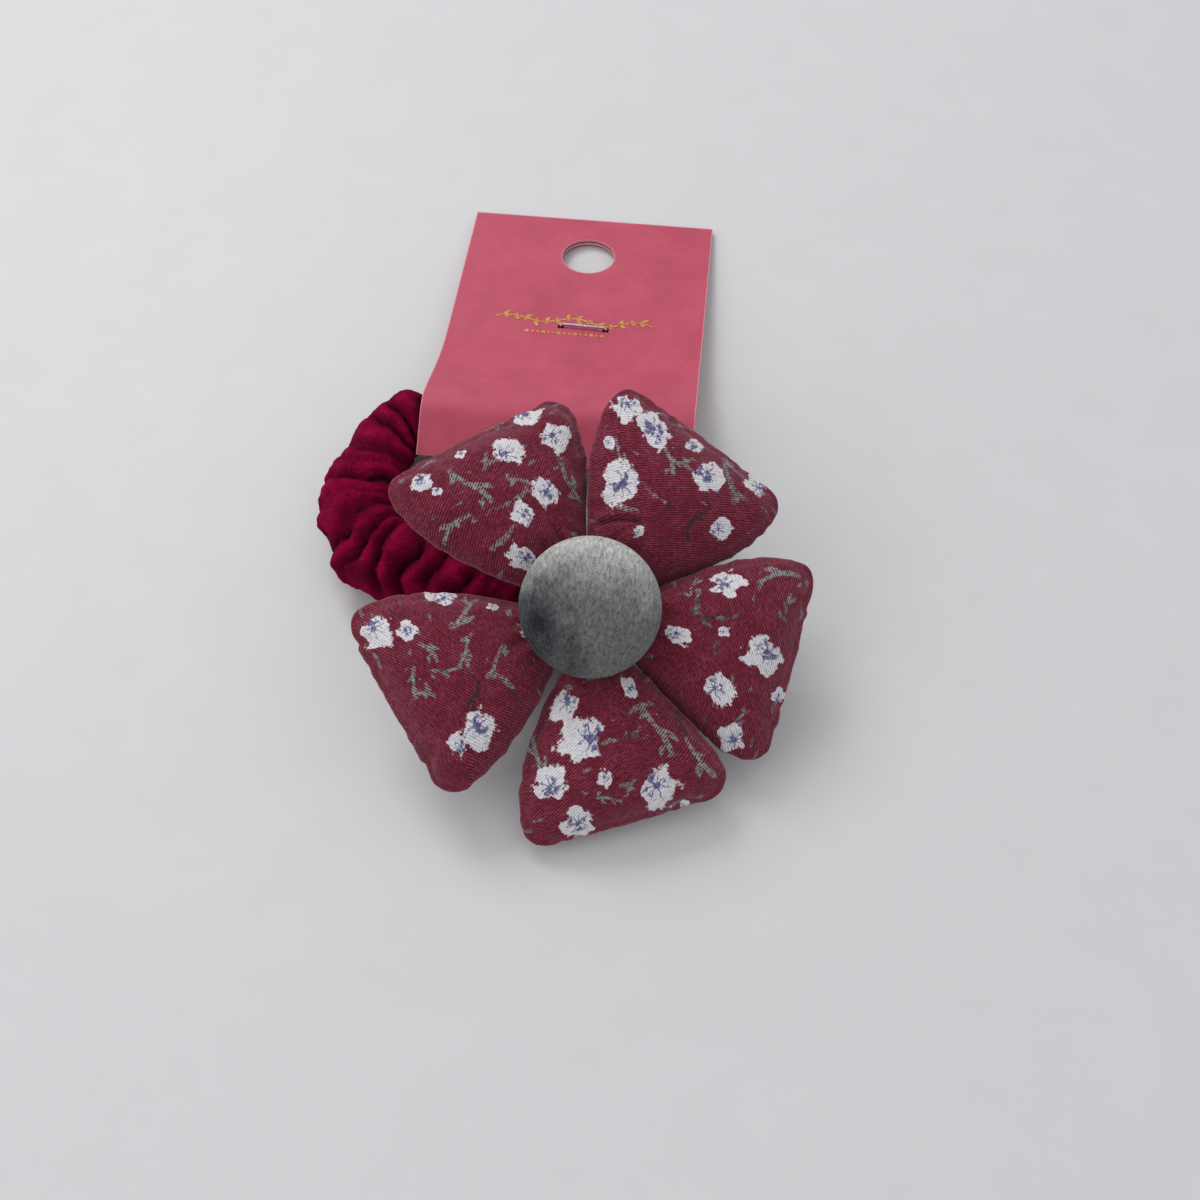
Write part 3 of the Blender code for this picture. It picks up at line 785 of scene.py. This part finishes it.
def cottonMaterial(plan):
    mat, where = startMaterial("printed_cotton", 0.95, Sheen_Weight=0.35, Sheen_Roughness=0.5,
                               Sheen_Tint=colour(235, 190, 205), Specular_IOR_Level=0.1)
    cloth = where.node("UVMap", {"uv_map": "cloth"})
    u, v, _ = cloth.parts()
    waver = (cloth.grain(600, 2) - 0.5) * 2.4
    pitch = 2 * math.pi / (plan["weave"] * mm)
    ribs = ((u * 0.82 + v * 0.57) * pitch + waver).sine()
    threads = cloth.stretched((1, 0.3, 1), turn=(0, 0, 0.6)).grain(3600, 2, 0.6)
    fuzz = where.grain(2600, 3, 0.7)
    weave = ribs * 0.20 + threads * 0.90 + fuzz * 0.6
    mottle = where.grain(320, 3, 0.6)

    ground = weave.ease(0.25, 1.12).between(plan["deep"], plan["ground"])
    ground = (weave * 0.8 + mottle * 0.5).ease(0.76, 1.40).between(ground, plan["rib"])

    # Sprigs: a thin stem with slim leaves slanting off it, drawn dry so that the ground shows through
    sprig = where.node("Attribute", {"attribute_name": "sprig"}, None, 1)
    a, b, seed = sprig.parts()
    off = b - (a * 2.1 + seed).sine() * 0.16 + (cloth.grain(900, 1) - 0.5) * 0.12
    far = off.absolute()
    within = a.absolute().ease(1.05, 0.85)
    stem = far.ease(0.13, 0.07) * within
    slant = ((a - far * 1.1) * 6.0 + seed * 3.0 + off.maths("SIGN", off) * 0.9).sine()
    leaves = slant.ease(0.25, 0.60) * far.ease(0.50, 0.38) * within
    side = (seed * 7.0 + a * 2.9).sine().ease(-0.15, 0.15)
    leaves = leaves * (off.maths("SIGN", off) * (side - 0.5) * 2).ease(-0.6, 0.4)
    broken = (cloth.grain(1900, 2, 0.6) + ribs * 0.10).ease(0.38, 0.56)
    dabs = cloth.stretched((1, 0.45, 1), (0.3, 0.1, 0), (0, 0, 1.1)).grain(420, 2, 0.5).ease(0.62, 0.66)
    green = stem.larger(leaves).larger(dabs * 0.8) * broken
    dark = seed - (seed / 10.0).maths("FLOOR", seed / 10.0) * 10.0
    leafTint = (dark * 0.6 + cloth.grain(700, 2) * 0.65).ease(0.45, 0.80)
    leafTint = leafTint.between(plan["leaf"], plan["stem"])
    printed = (green * 0.92).between(ground, leafTint)

    # Blossoms: ragged white shapes, with thin blue strokes from a point off the middle and a few dabs
    blossom = where.node("Attribute", {"attribute_name": "blossom"}, None, 1)
    p, q, kind = blossom.parts()
    reach = (p * p + q * q).power(0.5)
    angle = q.maths("ARCTAN2", q, p)
    shape = blossom.grain(1.6, 3, 0.62)
    rim = 0.80 + (angle * 4 + kind + (shape - 0.5) * 7).sine() * 0.07 + (shape - 0.5) * 1.35
    nicks = cloth.grain(1500, 2, 0.6) - 0.5
    petalMask = (rim - reach + nicks * 0.30).ease(-0.04, 0.08)
    sideways = p - (kind * 2.1).sine() * 0.24
    upwards = q - (kind * 3.3).sine() * 0.24
    apart = (sideways * sideways + upwards * upwards).power(0.5)
    around = upwards.maths("ARCTAN2", upwards, sideways)
    inside = blossom.stretched(place=(5.0, 2.0, 0)).grain(2.6, 3, 0.65)
    strokes = ((around * 3.5 + kind * 2 + (inside - 0.5) * 5).sine().absolute() * apart).ease(0.12, 0.05)
    strokes = strokes * (apart + (inside - 0.5) * 1.2).ease(0.64, 0.50)
    blots = blossom.stretched(place=(1.0, 7.0, 0)).grain(2.6, 2, 0.5).ease(0.52, 0.59)
    blots = blots * apart.ease(0.62, 0.40)
    heart = (apart + (inside - 0.5) * 0.5).ease(0.17, 0.09)
    ink = strokes.larger(blots).larger(heart) * (0.75 + broken * 0.25)
    wash = (inside * 0.9).ease(0.45, 0.80) * 0.35
    white = wash.between(plan["blossom"], plan["shadow"])
    white = weave.ease(0.20, 0.95).between(plan["shadow"], white)
    inked = (ink * 0.92).between(white, plan["ink"])
    tint = petalMask.between(printed, inked)
    return finishMaterial(mat, tint, weave * 0.5 + threads * 0.3, 0.00014)


def makePetals(plan):
    cotton = cottonMaterial(plan)
    for number in sorted(printPlan):
        print(f"petal {number}: sewing, stuffing and printing")
        place = petalFrame(number)
        room = petalRoom(number, place, plan)
        pouch = sewPouch(number, plan, room)
        stuff(pouch, plan)
        fitPouch(pouch, room, number, plan)
        applyModifier(pouch, "SUBSURF", levels=1, render_levels=1)
        pucker(pouch, number, plan)
        layPrint(pouch, number, plan)
        pouch.data.transform(place)
        shadeSmooth(pouch)
        dress(pouch, cotton)
        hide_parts(f"petal_{number}_cover", f"petal_{number}_wadding")
        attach(pouch, f"petal_{number}")


# Covered button

buttonPlan = {
    "segments": 144, "rings": 72, "rimShare": 0.36, "tuckIn": 0.12,
    "pleats": 26, "pleatDepth": 0.35, "dimple": 0.10, "fineDimple": 0.035,
    # light is a painted highlight colour for the dome's top, and the last colour a painted shade for its
    # lower left side
    "light": (204, 204, 200), "body": (112, 113, 112), "shadedSide": (20, 24, 34),
}


def makeButton(plan):
    print("button: covering it with velvet")
    place = petalFrame(4)
    low, high = localExtent("button_velvet", place)
    radius = (high[1] - low[1]) / 2
    foot, top = low[2], high[2]
    rim = foot + plan["rimShare"] * (top - foot)
    bpy.ops.mesh.primitive_uv_sphere_add(segments=plan["segments"], ring_count=plan["rings"], radius=1)
    button = lastAdded("velvet_button")
    unit = readPoints(button)
    around = np.arctan2(unit[:, 1], unit[:, 0])
    rise = unit[:, 2]
    flatRadius = np.hypot(unit[:, 0], unit[:, 1])
    under = smoothStep(-rise, 0.0, 0.75)
    reach = radius * flatRadius
    height = np.where(rise > 0, rim + (top - rim) * rise, rim + (rim - foot) * np.maximum(rise * 1.35, -1))
    pleats = np.abs(np.sin(around * plan["pleats"] / 2 + 0.6 * np.sin(around * 3 + 1))) ** 0.7
    tuck = plan["pleatDepth"] * (1 - pleats) * smoothStep(-rise, -0.15, 0.35) * flatRadius
    reach = reach - tuck - plan["tuckIn"] * radius * under * flatRadius
    middle = (low + high) / 2
    points = np.stack([middle[0] + reach * np.cos(around), middle[1] + reach * np.sin(around), height],
                      axis=1)
    dimple = noiseAt(points, 4.0, 2.0) * plan["dimple"] + noiseAt(points, 1.1, 6.0) * plan["fineDimple"]
    points[:, 2] += dimple * smoothStep(rise, 0, 0.4)
    writePoints(button, points * mm)
    button.data.transform(place)
    shadeSmooth(button)
    dress(button, buttonMaterial(plan, place, middle, radius))
    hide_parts("button_velvet")
    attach(button, "flower")


def buttonMaterial(plan, place, middle, radius):
    mat, where = startMaterial("button_velvet", 0.95, Sheen_Weight=0.25, Sheen_Roughness=0.4,
                               Sheen_Tint=colour(226, 226, 226), Specular_IOR_Level=0.1)
    centre = place @ Vector(middle * mm)
    local = where.stretched(place=tuple(-centre))
    x, y, z = local.parts()
    patches = local.grain(210, 3, 0.6)
    fibres = local.stretched((1, 0.4, 1), turn=(0, 0, 0.5)).grain(2300, 3, 0.7)
    pile = local.grain(4800, 2, 0.7)
    # Painted shade on the lower left side and painted highlight towards the top, mixed with random patches
    # of pile
    lean = (x * 0.78 + y * 0.50 - z * 0.1) / (radius * mm) + (patches - 0.5) * 1.1
    tint = lean.ease(-1.0, -0.20).between(plan["shadedSide"], plan["body"])
    topHighlight = (y / (radius * mm) + (patches - 0.5) * 0.7).ease(-0.25, 1.0)
    tint = topHighlight.between(tint, plan["light"])
    tint = tint.shaded((fibres - 0.5) * 2.4 + (pile - 0.5) * 1.0 + 1.0)
    return finishMaterial(mat, tint, fibres * 0.9 + pile * 0.5, 0.0007)


# Felt, threads and the button's metal

feltPlan = {
    "sides": 96, "bevel": 0.25, "inset": 0.9, "uneven": 0.02, "pressed": 0.92,
    "deep": (74, 10, 28), "body": (134, 38, 62),
}


def makeFelt(plan):
    print("felt: cutting the backing")
    place = petalFrame(4)
    low, high = localExtent("felt_backing", place)
    radius = (high[1] - low[1]) / 2
    middle = (low + high) / 2
    thick = high[2] - low[2]
    bpy.ops.mesh.primitive_cylinder_add(vertices=plan["sides"], radius=radius * mm, depth=thick * mm,
                                        end_fill_type="NGON")
    felt = lastAdded("felt_disc")
    rim = {"offset": plan["bevel"] * mm, "segments": 3}
    face = {"thickness": plan["inset"] * mm, "use_individual": False, "use_boundary": False}
    editMesh(felt, (bpy.ops.mesh.bevel, rim), (bpy.ops.mesh.inset, face))
    points = readPoints(felt)
    wobble = noiseAt(points, 2.2 * mm, 9.0)
    points[:, :2] *= (1 - plan["uneven"] - plan["uneven"] * wobble)[:, None]
    points[:, 2] *= plan["pressed"]
    writePoints(felt, points)
    felt.data.transform(place @ Matrix.Translation(Vector(middle * mm)))
    selectOnly(felt)
    bpy.ops.object.shade_smooth_by_angle(angle=math.radians(50))
    mat, where = startMaterial("felt", 1.0, Sheen_Weight=0.3, Sheen_Tint=colour(200, 120, 140))
    fibres = where.grain(1900, 4, 0.75, 1.5)
    tufts = where.grain(600, 3, 0.6)
    tint = (fibres * 0.7 + tufts * 0.4).ease(0.35, 0.8).between(plan["deep"], plan["body"])
    dress(felt, finishMaterial(mat, tint, fibres, 0.0004))
    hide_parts("felt_backing")
    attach(felt, "flower")


threadPlan = {"twist": 0.45, "deep": (58, 8, 24), "body": (140, 30, 62)}
rubberPlan = {"braid": 0.7, "deep": (176, 168, 158), "body": (226, 220, 210)}


def threadMaterial(plan):
    mat, where = startMaterial("sewing_thread", 0.7, Sheen_Weight=0.25, Specular_IOR_Level=0.3)
    x, y, z = where.parts()
    twist = ((x + y * 1.3 + z * 1.7) * (2 * math.pi / (plan["twist"] * mm))).sine()
    hairs = where.grain(6000, 2, 0.7)
    tint = (twist * 0.35 + hairs).ease(0.2, 0.9).between(plan["deep"], plan["body"])
    return finishMaterial(mat, tint, twist * 0.5 + hairs * 0.5, 0.0001)


def metalMaterial(name, shade, scale):
    mat, where = startMaterial(name, 0.35, Metallic=1.0)
    drawn = where.stretched((1, 1, 14)).grain(scale, 3, 0.6)
    stains = where.grain(500, 3, 0.6)
    dull = [value * 0.78 for value in shade]
    tint = (drawn * 0.6 + stains * 0.5).ease(0.3, 0.8).between(dull, shade)
    rough = stains * 0.35 + drawn * 0.15 + 0.1
    return finishMaterial(mat, tint, drawn, 0.00003, rough)


def rubberMaterial(plan):
    mat, where = startMaterial("elastic_core", 0.75)
    x, y, _ = where.parts()
    pitch = 2 * math.pi / (plan["braid"] * mm)
    braid = ((x + y) * pitch).sine() * ((x - y) * pitch).sine()
    dust = where.grain(1500, 3, 0.6)
    tint = (braid * 0.3 + dust).ease(0.2, 0.9).between(plan["deep"], plan["body"])
    return finishMaterial(mat, tint, braid, 0.00015)


# Header card

cardPlan = {
    "front": (190, 76, 98), "shade": (172, 60, 84), "cutEdge": (216, 146, 158),
    "holeRadius": 5.0,
    "gold": (212, 156, 86), "dullGold": (176, 112, 60), "foilThick": 0.05, "foilLift": 0.02,
    "spray": {"fromTop": 29.6, "left": -14.6, "right": 13.6, "rise": 0.9, "waves": 2.5, "leaf": 1.7,
              "steps": 60, "leafEvery": 4},
    "beads": {"fromTop": 33.0, "left": -8.5, "right": 4.8, "count": 15, "size": 0.32},
}


def cardFrame():
    # x across the card, y up to its top edge, z out of its front, from the middle of the top edge
    low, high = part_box("header_card")
    point = Vector(mounts["card_front"]["pos_m"])
    normal = Vector(mounts["card_front"]["axis"]).normalized()
    across = Vector((1, 0, 0))
    up = normal.cross(across)
    topY = high.y
    point = point + up * ((topY - point.y) / up.y)
    point.x = (low.x + high.x) / 2
    turn = Matrix((across, up, normal)).transposed().to_4x4()
    return Matrix.Translation(point) @ turn


def cardMaterial(plan):
    mat, where = startMaterial("rose_card", 0.55, Specular_IOR_Level=0.35)
    low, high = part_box("header_card")
    x, y, _ = where.parts()
    middle = (low.x + high.x) / 2
    half = (high.x - low.x) / 2
    ragged = (where.grain(1800, 2) - 0.5) * 0.00016
    sideEdge = ((x - middle).absolute() + ragged).ease(half - 0.22 * mm, half - 0.06 * mm)
    topEdge = (y + ragged).ease(high.y - 0.26 * mm, high.y - 0.08 * mm)
    hole = mounts["hang_hole"]["pos_m"]
    dx = x - hole[0]
    dy = (y - hole[1]) / abs(mounts["hang_hole"]["axis"][2])
    radius = plan["holeRadius"]
    rim = ((dx * dx + dy * dy).power(0.5) + ragged).ease((radius + 0.06) * mm, (radius - 0.07) * mm)
    fibres = where.stretched((1, 2.2, 1)).grain(1500, 4, 0.7)
    mottle = where.grain(120, 3, 0.6)
    tint = (fibres * 0.45 + mottle * 0.6).ease(0.3, 0.75).between(plan["shade"], plan["front"])
    # Paler colour within a fraction of a millimetre of the cut edges and the hole
    paleRims = sideEdge.larger(topEdge).larger(rim) * (0.55 + fibres * 0.5).smaller(1.0)
    tint = paleRims.between(tint, plan["cutEdge"])
    return finishMaterial(mat, tint, fibres + mottle * 0.6, 0.00006, fibres * 0.25 + 0.42)


def foilMaterial(plan):
    mat, where = startMaterial("gold_foil", 0.4, Metallic=0.5)
    flakes = where.grain(1600, 3, 0.7)
    tint = flakes.ease(0.35, 0.65).between(plan["dullGold"], plan["gold"])
    return finishMaterial(mat, tint, flakes, 0.00004, flakes * 0.5 + 0.15)


def addLeaf(size, place, turn):
    # A leaf of foil: a flat disc drawn to two points, thickened later with the rest of the spray
    bpy.ops.mesh.primitive_circle_add(vertices=16, radius=size / 2 * mm, fill_type="NGON")
    leaf = lastAdded("leaf")
    points = readPoints(leaf)
    share = np.clip(np.abs(points[:, 0]) / (size / 2 * mm), 0, 1)
    points[:, 1] *= 0.42 * (1 - share ** 2) ** 0.35
    writePoints(leaf, points)
    leaf.data.transform(place @ Matrix.Rotation(turn, 4, "Z") @ Matrix.Translation((size / 2 * mm, 0, 0)))
    return leaf


def makeOrnament(plan):
    print("card: laying the foil spray")
    place = cardFrame()
    spray = plan["spray"]
    parts = []
    steps = spray["steps"]
    line = []
    for i in range(steps + 1):
        t = i / steps
        x = spray["left"] + (spray["right"] - spray["left"]) * t
        y = -spray["fromTop"] + spray["rise"] * math.sin(2 * math.pi * spray["waves"] * t) * (0.6 + 0.4 * t)
        line.append((x, y))
    bpy.ops.mesh.primitive_grid_add(x_subdivisions=steps, y_subdivisions=1, size=2)
    stem = lastAdded("foil_spray")
    points = readPoints(stem)
    index = np.round((points[:, 0] + 1) / 2 * steps).astype(int)
    path = np.array(line)
    slope = np.gradient(path, axis=0)
    slope /= np.linalg.norm(slope, axis=1)[:, None]
    width = 0.13 + 0.07 * np.sin(np.pi * index / steps)
    points[:, 0] = path[index, 0] - slope[index, 1] * width * np.sign(points[:, 1])
    points[:, 1] = path[index, 1] + slope[index, 0] * width * np.sign(points[:, 1])
    points[:, 2] = 0
    writePoints(stem, points * mm)
    parts.append(stem)
    for i in range(3, steps - 1, spray["leafEvery"]):
        for side in (1, -1):
            heading = math.atan2(slope[i, 1], slope[i, 0]) + side * math.radians(48 + 8 * math.sin(i * 1.7))
            spot = Matrix.Translation((path[i, 0] * mm, path[i, 1] * mm, 0))
            parts.append(addLeaf(spray["leaf"] * (0.8 + 0.25 * math.sin(i * 2.3 + side)), spot, heading))
    beads = plan["beads"]
    for i in range(beads["count"]):
        x = beads["left"] + (beads["right"] - beads["left"]) * i / (beads["count"] - 1)
        size = beads["size"] * (1.25 if i % 3 == 0 else 0.8)
        bpy.ops.mesh.primitive_circle_add(vertices=10, radius=size * mm, fill_type="NGON",
                                          location=(x * mm, -beads["fromTop"] * mm, 0))
        bead = lastAdded("bead")
        bpy.ops.object.transform_apply(location=True)
        parts.append(bead)
    selectOnly(stem)
    for part in parts:
        part.select_set(True)
    bpy.ops.object.join()
    foil = lastAdded("foil_spray")
    applyModifier(foil, "SOLIDIFY", thickness=plan["foilThick"] * mm, offset=1.0)
    foil.data.transform(Matrix.Translation((0, 0, plan["foilLift"] * mm)))
    foil.data.transform(place)
    dress(foil, foilMaterial(plan))
    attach(foil, "card")


def dressNodes():
    nodes = frame["nodes"]
    dress(nodes["header_card"], cardMaterial(cardPlan))
    dress(nodes["staple"], metalMaterial("staple_wire", (214, 212, 216), 900))
    aluminium = metalMaterial("button_metal", (206, 206, 208), 700)
    for name in ("button_shell", "button_back_plate", "button_shank"):
        dress(nodes[name], aluminium)
    thread = threadMaterial(threadPlan)
    for name in ("button_thread", "gathering_thread", "band_stitch_1", "band_stitch_2"):
        dress(nodes[name], thread)


# Table top, light and camera

stagePlan = {
    "cameraPlace": (20.392, -147.363, 198.7), "cameraTurn": (32.8, 0.0, 6.0), "lens": 44.4,
    "floor": (206, 205, 206),
    "keyPlace": (-330, 420, 620), "keySize": 330, "keyPower": 2.5,
    "fillPlace": (-520, -330, 560), "fillSize": 620, "fillPower": 1.2,
    "ambient": 0.72, "sky": (0.95, 0.97, 1, 1),
}


def addSoftLight(name, place, size, power):
    bpy.ops.object.light_add(type="AREA", location=[value * mm for value in place])
    light = lastAdded(name)
    light.data.size = size * mm
    light.data.energy = power
    aim = Vector((0, 0, 0)) - Vector(light.location)
    light.rotation_euler = aim.to_track_quat("-Z", "Y").to_euler()


def makeStage(plan):
    print("stage: table top, lights and camera")
    bpy.ops.mesh.primitive_plane_add(size=3)
    floor = lastAdded("table_top")
    mat, where = startMaterial("table_top", 0.5, Specular_IOR_Level=0.3)
    specks = where.grain(90, 3, 0.6)
    tint = specks.ease(0.2, 0.9).between([v - 3 for v in plan["floor"]], plan["floor"])
    dress(floor, finishMaterial(mat, tint))
    addSoftLight("key", plan["keyPlace"], plan["keySize"], plan["keyPower"])
    addSoftLight("fill", plan["fillPlace"], plan["fillSize"], plan["fillPower"])
    world = bpy.data.worlds.new("room")
    bpy.context.scene.world = world
    world.use_nodes = True
    sky = world.node_tree.nodes["Background"]
    sky.inputs["Color"].default_value = plan["sky"]
    sky.inputs["Strength"].default_value = plan["ambient"]
    bpy.ops.object.camera_add(location=[value * mm for value in plan["cameraPlace"]],
                              rotation=[math.radians(value) for value in plan["cameraTurn"]])
    camera = lastAdded("camera")
    camera.data.lens = plan["lens"]
    camera.data.sensor_width = 36
    camera.data.clip_start = 0.01
    bpy.context.scene.camera = camera
    bpy.context.scene.view_settings.view_transform = "Standard"


makeStage(stagePlan)
makePetals(petalPlan)
makeElastic(velvetPlan)
makeBand(velvetPlan)
makeButton(buttonPlan)
makeFelt(feltPlan)
makeOrnament(cardPlan)
dressNodes()
